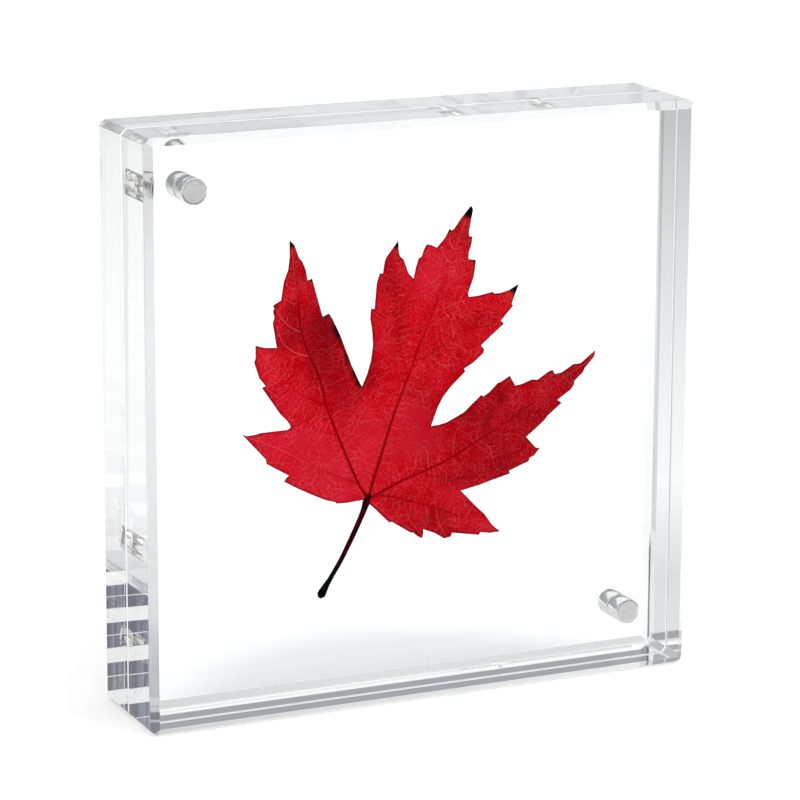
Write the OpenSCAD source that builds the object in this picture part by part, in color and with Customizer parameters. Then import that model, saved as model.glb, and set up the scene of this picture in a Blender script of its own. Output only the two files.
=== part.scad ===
// Magnetic photo frame: two thick clear acrylic blocks that hold a pressed maple leaf between them,
// drawn together by two pairs of rod magnets. Units are millimetres, +Z is up, the front looks along -Y
// and the origin is the middle of the footprint.

/* [Acrylic blocks] */
// Width of the frame
frame_w = 114.3; // [100:0.1:160]
// Height of the frame
frame_h = 114.3; // [100:0.1:160]
// Thickness of each block
block_t = 12.7; // [9:0.1:20]
// Leg of the bevel round each outer face
bevel_leg = 1.5; // [0.8:0.1:3]
// Leg of the chamfer along each corner edge that runs front to back
corner_leg = 1.15; // [0.4:0.05:2]

/* [Magnets] */
// Diameter of each rod magnet
magnet_d = 5; // [3:0.1:8]
// Length of each rod magnet
magnet_len = 6; // [3:0.1:8]
// Chamfer on the rims of each magnet
magnet_rim = 0.2; // [0.1:0.05:0.4]
// Distance from the two nearest sides of the frame to a magnet's centre
magnet_inset = 11.1; // [7:0.1:20]
// Film of glue between a magnet and its bore
glue_film = 0.05; // [0.02:0.01:0.15]

/* [Pressed leaf] */
// Width of the leaf's blade
leaf_span = 75; // [60:0.5:85]
// Thickness of the blade between its veins
blade_t = 0.25; // [0.15:0.01:0.3]
// Height of the veins over the front of the blade
vein_front_rise = 0.05; // [0.02:0.01:0.08]
// Height of the veins over the back of the blade
vein_back_rise = 0.12; // [0.05:0.01:0.16]
// Width of a main vein at the heart of the leaf
main_vein_w = 0.9; // [0.5:0.05:1.4]
// Width of a side vein where it leaves a main vein
side_vein_w = 0.5; // [0.3:0.05:0.8]
// Width of every vein at its tip
vein_tip_w = 0.2; // [0.1:0.05:0.3]
// Thickness of the pressed stalk, which sets how close the blocks come
stalk_t = 0.5; // [0.45:0.01:0.9]
// Width of the stalk's swollen end
stalk_end_w = 2; // [1.2:0.1:3]
// Clearance between the stalk and each block
leaf_clearance = 0.05; // [0.02:0.01:0.2]

/* [Hidden] */

// Overrun of every cut past the face it starts from
cut_over = 0.5;
// Facets of a full circle
round_fn = 96;

// Gap between the blocks, and the middle height of the frame
block_gap = stalk_t + 2 * leaf_clearance;
middle_z = frame_h / 2;

// Magnets sit on one diagonal only: upper left and lower right, seen from the front
magnet_side = frame_w / 2 - magnet_inset;
upper_place = [-magnet_side, frame_h - magnet_inset];
lower_place = [magnet_side, magnet_inset];

acrylic_colour = [0.86, 0.93, 0.96, 0.35];
nickel_colour = [0.78, 0.78, 0.76];
leaf_colour = [0.74, 0.06, 0.11];
vein_colour = [0.5, 0.02, 0.05];
stalk_colour = [0.18, 0.03, 0.06];

// The heart of the leaf, where stalk and veins meet, from the middle of the frame
heart_share = [-0.122, -0.235];
heart_x = heart_share[0] * leaf_span;
heart_z = middle_z + heart_share[1] * leaf_span;

// Front of the blade, with the veins' full thickness centred in the gap
vein_t = vein_front_rise + blade_t + vein_back_rise;
blade_front_y = vein_front_rise - vein_t / 2;

// Outline of the blade, clockwise from the heart, lobe by lobe, in shares of leaf_span from the heart.
// Every list ends at the notch between its lobe and the next one.
lower_left_share = [
    [-0.012, -0.001], [-0.06, -0.004], [-0.088, -0.003], [-0.091, 0.001], [-0.12, 0.01],
    [-0.155, 0.027], [-0.195, 0.048], [-0.234, 0.071], [-0.227, 0.08], [-0.22, 0.085],
    [-0.281, 0.122], [-0.284, 0.135], [-0.348, 0.206], [-0.336, 0.201], [-0.31, 0.202],
    [-0.3, 0.205], [-0.225, 0.206], [-0.213, 0.211],
];
left_share = [
    [-0.225, 0.23], [-0.245, 0.251], [-0.293, 0.322], [-0.283, 0.326], [-0.3, 0.347],
    [-0.314, 0.39], [-0.31, 0.4], [-0.31, 0.433], [-0.285, 0.425], [-0.252, 0.422],
    [-0.263, 0.487], [-0.258, 0.5], [-0.262, 0.517], [-0.258, 0.524], [-0.262, 0.532],
    [-0.24, 0.543], [-0.232, 0.59], [-0.22, 0.62], [-0.216, 0.65], [-0.216, 0.695],
    [-0.203, 0.682], [-0.19, 0.647], [-0.182, 0.639], [-0.173, 0.618], [-0.167, 0.588],
    [-0.155, 0.592], [-0.137, 0.528], [-0.126, 0.491], [-0.109, 0.498], [-0.1, 0.485],
    [-0.078, 0.44], [-0.045, 0.355], [-0.026, 0.315], [-0.017, 0.298],
];
middle_share = [
    [-0.003, 0.328], [0.008, 0.363], [0.014, 0.405], [0.011, 0.445], [0.006, 0.475],
    [0.008, 0.5], [0.018, 0.499], [0.024, 0.565], [0.032, 0.59], [0.041, 0.589],
    [0.046, 0.62], [0.051, 0.631], [0.083, 0.67], [0.084, 0.645], [0.088, 0.63],
    [0.098, 0.621], [0.112, 0.584], [0.127, 0.568], [0.133, 0.597], [0.141, 0.62],
    [0.149, 0.624], [0.156, 0.643], [0.164, 0.655], [0.176, 0.652], [0.192, 0.644],
    [0.215, 0.668], [0.227, 0.69], [0.233, 0.685], [0.241, 0.69], [0.257, 0.712],
    [0.288, 0.746], [0.293, 0.735], [0.282, 0.68], [0.283, 0.666], [0.292, 0.665],
    [0.289, 0.645], [0.282, 0.625], [0.281, 0.607], [0.302, 0.603], [0.3, 0.58],
    [0.296, 0.558], [0.281, 0.518], [0.283, 0.507], [0.31, 0.508], [0.352, 0.515],
    [0.356, 0.51], [0.375, 0.51], [0.4, 0.516], [0.426, 0.529], [0.406, 0.478],
    [0.411, 0.474], [0.376, 0.437], [0.385, 0.428], [0.345, 0.397], [0.319, 0.376],
    [0.329, 0.364], [0.325, 0.354], [0.295, 0.331], [0.271, 0.319], [0.275, 0.311],
    [0.235, 0.276], [0.212, 0.25], [0.196, 0.222], [0.178, 0.175],
];
right_share = [
    [0.2, 0.176], [0.222, 0.18], [0.245, 0.19], [0.272, 0.202], [0.322, 0.244],
    [0.328, 0.239], [0.345, 0.249], [0.37, 0.272], [0.378, 0.273], [0.403, 0.287],
    [0.42, 0.259], [0.44, 0.262], [0.468, 0.271], [0.485, 0.269], [0.515, 0.287],
    [0.528, 0.291], [0.535, 0.279], [0.556, 0.282], [0.59, 0.301], [0.61, 0.301],
    [0.653, 0.332], [0.65, 0.316], [0.622, 0.287], [0.617, 0.276], [0.591, 0.254],
    [0.593, 0.248], [0.582, 0.233], [0.543, 0.209], [0.556, 0.2], [0.54, 0.188],
    [0.514, 0.168], [0.505, 0.157], [0.453, 0.118], [0.482, 0.086], [0.493, 0.084],
    [0.477, 0.066], [0.463, 0.06], [0.462, 0.052], [0.404, 0.032], [0.407, 0.024],
    [0.35, 0.011], [0.32, 0.003], [0.265, -0.007],
];
lower_right_share = [
    [0.31, -0.055], [0.335, -0.079], [0.355, -0.108], [0.379, -0.13], [0.35, -0.131],
    [0.322, -0.126], [0.319, -0.133], [0.24, -0.118], [0.236, -0.128], [0.217, -0.131],
    [0.19, -0.113], [0.157, -0.099], [0.158, -0.109], [0.154, -0.123], [0.142, -0.117],
    [0.128, -0.104], [0.122, -0.105], [0.068, -0.069], [0.06, -0.07], [0.015, -0.024],
    [0.003, -0.014],
];
blade_share = concat(lower_left_share, left_share, middle_share, right_share, lower_right_share);

// Main veins, each towards the tip of a lobe: left, middle and right ones from the heart,
// the lower left one from the left vein
main_vein_shares = [
    [
        [-0.024, 0.042], [-0.072, 0.063], [-0.124, 0.089], [-0.18, 0.118], [-0.234, 0.152],
        [-0.29, 0.178], [-0.335, 0.199],
    ],
    [
        [0, 0], [-0.03, 0.05], [-0.074, 0.15], [-0.114, 0.25], [-0.128, 0.305], [-0.141, 0.346],
        [-0.165, 0.396], [-0.184, 0.452], [-0.193, 0.521], [-0.198, 0.587], [-0.205, 0.641], [-0.21, 0.678],
    ],
    [
        [0, 0], [0.017, 0.056], [0.033, 0.102], [0.061, 0.187], [0.087, 0.254], [0.115, 0.321],
        [0.138, 0.382], [0.164, 0.438], [0.19, 0.503], [0.228, 0.602], [0.243, 0.635], [0.26, 0.684],
        [0.284, 0.732],
    ],
    [
        [0, 0], [0.05, 0.02], [0.1, 0.04], [0.2, 0.071], [0.25, 0.092], [0.3, 0.117], [0.342, 0.137],
        [0.387, 0.161], [0.45, 0.196], [0.51, 0.235], [0.555, 0.265], [0.62, 0.298], [0.645, 0.322],
    ],
    [
        [0, 0], [0.034, 0.005], [0.071, -0.003], [0.108, -0.015], [0.16, -0.033], [0.205, -0.051],
        [0.257, -0.074], [0.3, -0.095], [0.345, -0.115], [0.372, -0.127],
    ],
];
// Side veins, each from a larger vein towards a tooth or the edge, lobe by lobe as in the outline
side_vein_shares = [
    [[-0.072, 0.063], [-0.09, 0.045], [-0.11, 0.028], [-0.135, 0.022]],
    [[-0.12, 0.087], [-0.16, 0.085], [-0.2, 0.082], [-0.228, 0.074]],
    [[-0.18, 0.118], [-0.215, 0.118], [-0.25, 0.122], [-0.277, 0.127]],
    [[-0.15, 0.102], [-0.185, 0.14], [-0.21, 0.17], [-0.23, 0.2]],
    [[-0.086, 0.178], [-0.135, 0.196], [-0.175, 0.222], [-0.216, 0.256], [-0.257, 0.299], [-0.282, 0.317]],
    [[-0.118, 0.262], [-0.17, 0.284], [-0.205, 0.31], [-0.24, 0.343], [-0.271, 0.379], [-0.304, 0.425]],
    [[-0.163, 0.392], [-0.2, 0.404], [-0.229, 0.426], [-0.243, 0.447], [-0.254, 0.482]],
    [[-0.184, 0.455], [-0.212, 0.471], [-0.229, 0.485], [-0.243, 0.502], [-0.255, 0.526]],
    [[-0.194, 0.53], [-0.213, 0.535], [-0.236, 0.55]],
    [[-0.198, 0.57], [-0.219, 0.575], [-0.23, 0.588]],
    [[-0.197, 0.575], [-0.167, 0.585], [-0.159, 0.586]],
    [[-0.133, 0.32], [-0.118, 0.37], [-0.106, 0.43], [-0.106, 0.472]],
    [
        [0.058, 0.182], [0.043, 0.208], [0.028, 0.232], [0.006, 0.273], [-0.018, 0.287],
        [-0.04, 0.304], [-0.057, 0.328], [-0.068, 0.358], [-0.071, 0.396],
    ],
    [
        [0.112, 0.312], [0.105, 0.338], [0.097, 0.364], [0.088, 0.4], [0.08, 0.45], [0.074, 0.52],
        [0.071, 0.575], [0.074, 0.62], [0.08, 0.655],
    ],
    [[0.082, 0.44], [0.055, 0.462], [0.03, 0.478], [0.011, 0.493]],
    [[0.071, 0.572], [0.056, 0.58], [0.041, 0.585]],
    [[0.196, 0.52], [0.18, 0.545], [0.16, 0.572], [0.14, 0.6]],
    [[0.222, 0.586], [0.205, 0.597], [0.178, 0.615], [0.16, 0.64]],
    [[0.229, 0.602], [0.215, 0.618], [0.206, 0.634], [0.202, 0.648]],
    [[0.243, 0.632], [0.231, 0.648], [0.226, 0.665], [0.228, 0.681]],
    [[0.243, 0.634], [0.26, 0.64], [0.275, 0.647], [0.287, 0.66]],
    [[0.228, 0.6], [0.255, 0.606], [0.278, 0.604], [0.296, 0.601]],
    [[0.205, 0.54], [0.24, 0.553], [0.27, 0.567], [0.292, 0.575]],
    [[0.178, 0.475], [0.223, 0.487], [0.253, 0.497], [0.275, 0.5]],
    [
        [0.126, 0.354], [0.157, 0.358], [0.184, 0.372], [0.23, 0.398], [0.27, 0.418], [0.32, 0.45],
        [0.374, 0.484], [0.416, 0.52],
    ],
    [[0.27, 0.418], [0.31, 0.425], [0.345, 0.424], [0.376, 0.43]],
    [[0.243, 0.09], [0.243, 0.13], [0.249, 0.155], [0.265, 0.172], [0.279, 0.195]],
    [
        [0.309, 0.121], [0.313, 0.15], [0.32, 0.172], [0.334, 0.19], [0.35, 0.211], [0.368, 0.234],
        [0.382, 0.256], [0.4, 0.28],
    ],
    [[0.415, 0.176], [0.43, 0.2], [0.432, 0.22], [0.425, 0.243], [0.422, 0.254]],
    [[0.44, 0.19], [0.465, 0.198], [0.481, 0.207], [0.492, 0.228], [0.497, 0.25], [0.521, 0.282]],
    [[0.44, 0.19], [0.485, 0.183], [0.52, 0.19], [0.548, 0.2]],
    [[0.348, 0.14], [0.38, 0.133], [0.415, 0.132], [0.443, 0.125], [0.47, 0.105], [0.485, 0.089]],
    [
        [0.317, 0.125], [0.33, 0.115], [0.345, 0.102], [0.354, 0.08], [0.356, 0.063], [0.365, 0.042],
        [0.382, 0.032], [0.4, 0.029],
    ],
    [
        [0.245, 0.09], [0.277, 0.073], [0.314, 0.068], [0.352, 0.066], [0.4, 0.07], [0.45, 0.078],
        [0.477, 0.083],
    ],
    [[0.145, 0.056], [0.177, 0.043], [0.211, 0.034], [0.251, 0.028], [0.3, 0.026], [0.343, 0.023]],
    [[0.104, -0.014], [0.108, -0.04], [0.114, -0.063], [0.128, -0.085], [0.15, -0.113]],
    [[0.163, -0.034], [0.166, -0.06], [0.169, -0.08], [0.162, -0.097]],
    [[0.193, -0.046], [0.197, -0.063], [0.2, -0.085], [0.211, -0.105], [0.221, -0.123]],
    [[0.259, -0.075], [0.262, -0.09], [0.26, -0.106], [0.262, -0.117]],
    [[0.295, -0.093], [0.305, -0.11], [0.315, -0.123]],
    [[0.012, -0.01], [0.043, -0.04], [0.071, -0.063], [0.105, -0.085], [0.123, -0.1]],
];

// Middle line of the stalk from the heart down, and its width in shares of stalk_end_w
stalk_share = [
    [0, 0.004], [-0.01, -0.025], [-0.021, -0.05], [-0.046, -0.1], [-0.073, -0.15],
    [-0.094, -0.183], [-0.107, -0.203], [-0.12, -0.222], [-0.131, -0.241], [-0.135, -0.247],
];
stalk_width_share = [0.9, 0.64, 0.57, 0.56, 0.51, 0.46, 0.51, 0.71, 1, 0.86];
// Radius of the knot at the heart, in shares of stalk_end_w
knot_share = 0.42;

// Direction square to a line at its point i, to the left of the way it runs
function across(line, i) =
    let (
        before = line[max(i - 1, 0)],
        after = line[min(i + 1, len(line) - 1)],
        along = after - before
    )
    [-along[1], along[0]] / norm(along);

// Closed outline round a middle line that is widths[i] wide at its point i
function strip(line, widths) =
    let (last = len(line) - 1)
    concat(
        [for (i = [0:last]) line[i] + across(line, i) * widths[i] / 2],
        [for (i = [last:-1:0]) line[i] - across(line, i) * widths[i] / 2]
    );

// Widths that fall evenly from the first point of a line to the last
function taper(line, from_w, to_w) =
    let (last = len(line) - 1)
    [for (i = [0:last]) from_w + (to_w - from_w) * i / last];

// A flat piece of the leaf, front_y to front_y + thickness, drawn from the heart
module leaf_layer(front_y, thickness) {
    translate([heart_x, front_y + thickness, heart_z])
        rotate([90, 0, 0])
            linear_extrude(thickness)
                children();
}

module blade() {
    color(leaf_colour)
        leaf_layer(blade_front_y, blade_t)
            polygon(leaf_span * blade_share);
}

module veins(shares, from_w) {
    color(vein_colour)
        for (share = shares)
            leaf_layer(-vein_t / 2, vein_t)
                polygon(strip(leaf_span * share, taper(share, from_w, vein_tip_w)));
}

module stalk() {
    color(stalk_colour)
        leaf_layer(-stalk_t / 2, stalk_t) {
            polygon(strip(leaf_span * stalk_share, stalk_end_w * stalk_width_share));
            circle(r = knot_share * stalk_end_w, $fn = round_fn);
        }
}

module pressed_leaf() {
    blade();
    veins(main_vein_shares, main_vein_w);
    veins(side_vein_shares, side_vein_w);
    stalk();
}

// Square outline of the frame with its four corners chamfered
module face_outline() {
    half_w = frame_w / 2;
    polygon([
        [-half_w + corner_leg, 0], [half_w - corner_leg, 0],
        [half_w, corner_leg], [half_w, frame_h - corner_leg],
        [half_w - corner_leg, frame_h], [-half_w + corner_leg, frame_h],
        [-half_w, frame_h - corner_leg], [-half_w, corner_leg],
    ]);
}

// Section of a block that is size wide, from its inner face at 0 to its bevelled outer face
module bevelled_section(size) {
    polygon([
        [0, 0], [size, 0],
        [size, block_t - bevel_leg], [size - bevel_leg, block_t],
        [bevel_leg, block_t], [0, block_t - bevel_leg],
    ]);
}

// Blind bore for one magnet, from the inner face into a block that lies behind it
module magnet_bore(place) {
    translate([place[0], magnet_len + glue_film, place[1]])
        rotate([90, 0, 0])
            cylinder(r = magnet_d / 2 + glue_film, h = magnet_len + glue_film + cut_over, $fn = round_fn);
}

// A block with its inner face at y = 0 and its bevelled outer face at y = block_t
module block() {
    color(acrylic_colour)
        difference() {
            intersection() {
                translate([0, block_t, 0])
                    rotate([90, 0, 0])
                        linear_extrude(block_t)
                            face_outline();
                translate([-frame_w / 2, 0, 0])
                    linear_extrude(frame_h)
                        bevelled_section(frame_w);
                translate([-frame_w / 2, 0, 0])
                    rotate([90, 0, 90])
                        linear_extrude(frame_w)
                            mirror([1, -1, 0])
                                bevelled_section(frame_h);
            }
            magnet_bore(upper_place);
            magnet_bore(lower_place);
        }
}

// Rod magnet flush with an inner face at y = 0, with its rims chamfered
module magnet(place) {
    radius = magnet_d / 2;
    color(nickel_colour)
        translate([place[0], magnet_len, place[1]])
            rotate([90, 0, 0])
                rotate_extrude($fn = round_fn)
                    polygon([
                        [0, 0], [radius - magnet_rim, 0],
                        [radius, magnet_rim], [radius, magnet_len - magnet_rim],
                        [radius - magnet_rim, magnet_len], [0, magnet_len],
                    ]);
}

// Places of the two halves: what is drawn behind y = 0 goes behind or in front of the gap
module behind_gap() {
    translate([0, block_gap / 2, 0])
        children();
}

module before_gap() {
    mirror([0, 1, 0])
        behind_gap()
            children();
}

module front_block() {
    before_gap() block();
}

module rear_block() {
    behind_gap() block();
}

module front_magnet_upper() {
    before_gap() magnet(upper_place);
}

module front_magnet_lower() {
    before_gap() magnet(lower_place);
}

module rear_magnet_upper() {
    behind_gap() magnet(upper_place);
}

module rear_magnet_lower() {
    behind_gap() magnet(lower_place);
}

front_block();
rear_block();
front_magnet_upper();
front_magnet_lower();
rear_magnet_upper();
rear_magnet_lower();
pressed_leaf();
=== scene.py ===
import math
import random

import bmesh
import bpy
import numpy as np
from mathutils import Matrix, Vector
from mathutils.kdtree import KDTree


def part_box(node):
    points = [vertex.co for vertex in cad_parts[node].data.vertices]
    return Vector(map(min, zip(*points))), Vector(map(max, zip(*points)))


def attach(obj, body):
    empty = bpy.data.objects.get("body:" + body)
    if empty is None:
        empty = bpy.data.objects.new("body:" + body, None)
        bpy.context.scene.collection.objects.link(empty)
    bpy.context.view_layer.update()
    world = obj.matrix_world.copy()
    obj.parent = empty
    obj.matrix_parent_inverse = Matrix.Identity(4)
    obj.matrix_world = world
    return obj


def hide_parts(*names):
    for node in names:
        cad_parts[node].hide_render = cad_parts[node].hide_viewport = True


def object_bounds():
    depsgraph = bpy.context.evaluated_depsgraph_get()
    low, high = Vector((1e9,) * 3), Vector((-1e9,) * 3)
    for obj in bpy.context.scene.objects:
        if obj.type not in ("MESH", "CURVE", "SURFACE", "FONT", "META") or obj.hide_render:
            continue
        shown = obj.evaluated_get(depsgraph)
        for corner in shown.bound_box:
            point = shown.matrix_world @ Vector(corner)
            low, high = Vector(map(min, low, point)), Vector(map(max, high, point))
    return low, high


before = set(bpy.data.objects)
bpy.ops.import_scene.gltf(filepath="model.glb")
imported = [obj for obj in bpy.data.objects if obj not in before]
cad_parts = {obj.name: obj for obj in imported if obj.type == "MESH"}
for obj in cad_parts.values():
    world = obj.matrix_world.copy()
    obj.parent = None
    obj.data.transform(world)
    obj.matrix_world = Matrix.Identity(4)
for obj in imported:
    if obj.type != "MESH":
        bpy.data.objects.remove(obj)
cadLow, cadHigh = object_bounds()
print("frame loaded")

mm = 0.001
near = 0.001 * mm       # closer than this is the same place


def clearSelection():
    bpy.ops.object.select_all(action="DESELECT")


def choose(piece):
    clearSelection()
    piece.select_set(True)
    bpy.context.view_layer.objects.active = piece


def settle(name):
    # names what an operator has just made and puts its place into its mesh
    piece = bpy.context.object
    piece.name = name
    piece.data.name = name
    bpy.ops.object.transform_apply(location=True, rotation=True, scale=True)
    return piece


def startEdit():
    bpy.ops.object.mode_set(mode="EDIT")
    bpy.ops.mesh.select_all(action="SELECT")


def endEdit():
    bpy.ops.object.mode_set(mode="OBJECT")


def pick(piece, kind, test):
    # in edit mode: selects the faces or edges that pass the test
    bpy.ops.mesh.select_mode(type=kind)
    bpy.ops.mesh.select_all(action="DESELECT")
    shape = bmesh.from_edit_mesh(piece.data)
    for item in (shape.faces if kind == "FACE" else shape.edges):
        if test(item):
            item.select_set(True)
    shape.select_flush_mode()
    bmesh.update_edit_mesh(piece.data)


def applyModifier(piece, kind, **settings):
    modifier = piece.modifiers.new(kind.lower(), kind)
    for key, value in settings.items():
        setattr(modifier, key, value)
    bpy.context.view_layer.objects.active = piece
    bpy.ops.object.modifier_apply(modifier=modifier.name)


def mergeAndTurnOut(piece):
    choose(piece)
    startEdit()
    bpy.ops.mesh.remove_doubles(threshold=near / 2)
    bpy.ops.mesh.normals_make_consistent(inside=False)
    endEdit()


def thicken(sheet, depth):
    # a flat sheet becomes a plate that reaches this much further back
    startEdit()
    bpy.ops.mesh.extrude_region_move(TRANSFORM_OT_translate={"value": (0, depth, 0)})
    endEdit()
    mergeAndTurnOut(sheet)


# Short ways to place nodes. An input given as a socket is linked, anything else is its value.

def setInputs(tree, made, inputs):
    for key, value in inputs.items():
        socket = made.inputs[key]
        if isinstance(value, bpy.types.NodeSocket):
            tree.links.new(value, socket)
        else:
            socket.default_value = value


def node(tree, kind, inputs=None, **settings):
    made = tree.nodes.new(kind)
    for key, value in settings.items():
        setattr(made, key, value)
    setInputs(tree, made, inputs or {})
    return made


def maths(tree, operation, first, second=0.0):
    return node(tree, "ShaderNodeMath", {0: first, 1: second}, operation=operation).outputs[0]


def times(tree, product, *factors):
    for factor in factors:
        product = maths(tree, "MULTIPLY", product, factor)
    return product


def vectorMaths(tree, operation, first, second=(0, 0, 0)):
    return node(tree, "ShaderNodeVectorMath", {0: first, 1: second}, operation=operation).outputs


def axesOf(tree, vector):
    return node(tree, "ShaderNodeSeparateXYZ", {0: vector}).outputs


def spread(tree, value, low, high, toLow=0.0, toHigh=1.0):
    return node(tree, "ShaderNodeMapRange", {"Value": value, "From Min": low, "From Max": high,
                                             "To Min": toLow, "To Max": toHigh}).outputs["Result"]


def blend(tree, factor, first, second):
    return node(tree, "ShaderNodeMix", {0: factor, 6: first, 7: second}, data_type="RGBA").outputs[2]


def mixValues(tree, factor, first, second):
    return node(tree, "ShaderNodeMix", {0: factor, 2: first, 3: second}).outputs[0]


def coordinates(tree, name):
    return node(tree, "ShaderNodeTexCoord").outputs[name]


def bump(tree, height, depth, strength=1.0):
    return node(tree, "ShaderNodeBump", {"Height": height, "Distance": depth, "Strength": strength}).outputs[0]


def newMaterial(name):
    material = bpy.data.materials.new(name)
    material.use_nodes = True
    tree = material.node_tree
    return material, tree, tree.nodes["Principled BSDF"]


mottleEnds = (0.35, 0.65)       # nearly all of the noise lies between these


def fineGrainGroup():
    # a mottle between two values and its height, for roughness, colour and bump of every finish
    group = bpy.data.node_groups.new("fineGrain", "ShaderNodeTree")
    group.interface.new_socket("Place", in_out="INPUT", socket_type="NodeSocketVector")
    for name, value in (("Scale", 1000.0), ("Detail", 3.0), ("Low", 0.0), ("High", 1.0)):
        group.interface.new_socket(name, in_out="INPUT", socket_type="NodeSocketFloat").default_value = value
    group.interface.new_socket("Mottle", in_out="OUTPUT", socket_type="NodeSocketFloat")
    group.interface.new_socket("Height", in_out="OUTPUT", socket_type="NodeSocketFloat")
    start = group.nodes.new("NodeGroupInput").outputs
    noise = node(group, "ShaderNodeTexNoise", {"Vector": start["Place"], "Scale": start["Scale"],
                                               "Detail": start["Detail"]}).outputs["Fac"]
    end = group.nodes.new("NodeGroupOutput").inputs
    group.links.new(spread(group, noise, *mottleEnds, start["Low"], start["High"]), end["Mottle"])
    group.links.new(noise, end["Height"])
    return group


fineGrain = fineGrainGroup()


def grain(tree, place, scale, low=0.0, high=1.0, detail=3.0):
    return node(tree, "ShaderNodeGroup", {"Place": place, "Scale": scale, "Detail": detail,
                                          "Low": low, "High": high}, node_tree=fineGrain).outputs


acrylicFinish = {
    "tint": (0.985, 0.992, 0.996, 1),
    "paintedBevelShade": (0.69, 0.70, 0.71, 1),     # painted shade: the cut edges are coloured greyer than the rest
    "bevelFrom": (0.06, 0.16, 1, 0),        # how far off the 45 degree slant still counts as one
    "paintedFootShade": (0.38, 0.38, 0.39, 1),      # painted shade: the left cut edge is coloured darker still towards its foot
    "footHeight": (45 * mm, 8 * mm, 0.45, 1),
    "footWidth": (1.5 * mm, 1.6 * mm),
    "paintedEdgeShade": (0.02, 0.02, 0.026, 1),     # painted shade: the lower end of the right rear edge is coloured dark
    "edgeWidth": (0.32 * mm, 0.42 * mm),
    "edgeHeight": (25 * mm, 20 * mm),
    "paintedSeamShade": (0.27, 0.27, 0.28, 1),      # painted shade on the front joint face's right edge, for rays seen straight through
    "seamWidth": (0.26 * mm, 0.28 * mm),
    "seamPlace": 0.36 * mm,
    "seamDepth": (0.1 * mm, 0.13 * mm),
    "sawn": (0.4, 0.45, 0, 0.14),           # the corner cuts are a little rougher
    "ior": 1.49,
    "smudgeScale": 90,
    "smudge": (0.0, 0.012),
    "rippleScale": 60,
    "rippleDepth": 0.004 * mm,
}
nickelFinish = {
    "darker": (0.90, 0.89, 0.87, 1),
    "lighter": (0.98, 0.975, 0.96, 1),
    "patchScale": 420,
    "grainScale": 2600,
    "roughness": (0.8, 1, 0.05, 0.3),       # the barrel is drawn and shiny, the faces are ground
    "roughnessSpread": (-0.03, 0.04),
    "grainDepth": 0.003 * mm,
    "grainStrength": 0.6,
}


def acrylicMaterial():
    material, tree, shader = newMaterial("clearAcrylic")
    finish = acrylicFinish
    place = coordinates(tree, "Object")
    facing = axesOf(tree, coordinates(tree, "Normal"))
    corner = maths(tree, "ABSOLUTE", times(tree, facing["X"], facing["Z"]))
    slant = maths(tree, "SUBTRACT", maths(tree, "ABSOLUTE", facing["Y"]), math.sqrt(0.5))
    bevel = spread(tree, maths(tree, "ABSOLUTE", slant), *finish["bevelFrom"])
    x, y, z = axesOf(tree, place)
    fromLeft = maths(tree, "SUBTRACT", x, cadLow.x)
    fromRight = maths(tree, "SUBTRACT", cadHigh.x, x)
    fromSeam = maths(tree, "ABSOLUTE", maths(tree, "ADD", y, finish["seamPlace"]))
    foot = times(tree, spread(tree, fromLeft, *finish["footWidth"], 1, 0),
                 spread(tree, z, *finish["footHeight"]))
    edge = times(tree, spread(tree, fromRight, *finish["edgeWidth"], 1, 0),
                 spread(tree, z, *finish["edgeHeight"]), maths(tree, "GREATER_THAN", y, 0))
    straight = maths(tree, "LESS_THAN", node(tree, "ShaderNodeLightPath").outputs["Glossy Depth"], 0.5)
    seam = times(tree, spread(tree, fromRight, *finish["seamWidth"], 1, 0),
                 spread(tree, fromSeam, *finish["seamDepth"], 1, 0), straight)
    # the acrylic's own tint, with painted shade on the cut edges, more at the left one's foot, on the lower end
    # of the right rear edge and on the front seam
    tint = blend(tree, foot, finish["paintedBevelShade"], finish["paintedFootShade"])
    tint = blend(tree, edge, tint, finish["paintedEdgeShade"])
    tint = blend(tree, bevel, finish["tint"], tint)
    tint = blend(tree, seam, tint, finish["paintedSeamShade"])
    smudge = grain(tree, place, finish["smudgeScale"], *finish["smudge"])["Mottle"]
    roughness = maths(tree, "ADD", smudge, spread(tree, corner, *finish["sawn"]))
    ripple = grain(tree, place, finish["rippleScale"], detail=1)["Height"]
    setInputs(tree, shader, {"Base Color": tint, "Roughness": roughness, "IOR": finish["ior"],
                             "Transmission Weight": 1, "Normal": bump(tree, ripple, finish["rippleDepth"])})
    return material


def nickelMaterial():
    material, tree, shader = newMaterial("brightNickel")
    finish = nickelFinish
    place = coordinates(tree, "Object")
    patches = grain(tree, place, finish["patchScale"])["Mottle"]
    colour = blend(tree, patches, finish["darker"], finish["lighter"])
    fine = grain(tree, place, finish["grainScale"], *finish["roughnessSpread"])
    facing = maths(tree, "ABSOLUTE", axesOf(tree, coordinates(tree, "Normal"))["Y"])
    roughness = maths(tree, "ADD", spread(tree, facing, *finish["roughness"]), fine["Mottle"])
    ground = bump(tree, fine["Height"], finish["grainDepth"], finish["grainStrength"])
    setInputs(tree, shader, {"Base Color": colour, "Metallic": 1, "Roughness": roughness, "Normal": ground})
    return material


acrylic = acrylicMaterial()
nickel = nickelMaterial()
print("acrylic and nickel ready")


blockShape = {
    "bevelLeg": 1.5 * mm,
    "cornerLeg": 1.15 * mm,
    "edgeRound": 0.12 * mm,
    "boreRadius": 2.55 * mm,
    "boreDepth": 6.05 * mm,
    "drillOverrun": 0.5 * mm,
    "drillSides": 96,
    "sharpFrom": math.radians(30),
}


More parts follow.
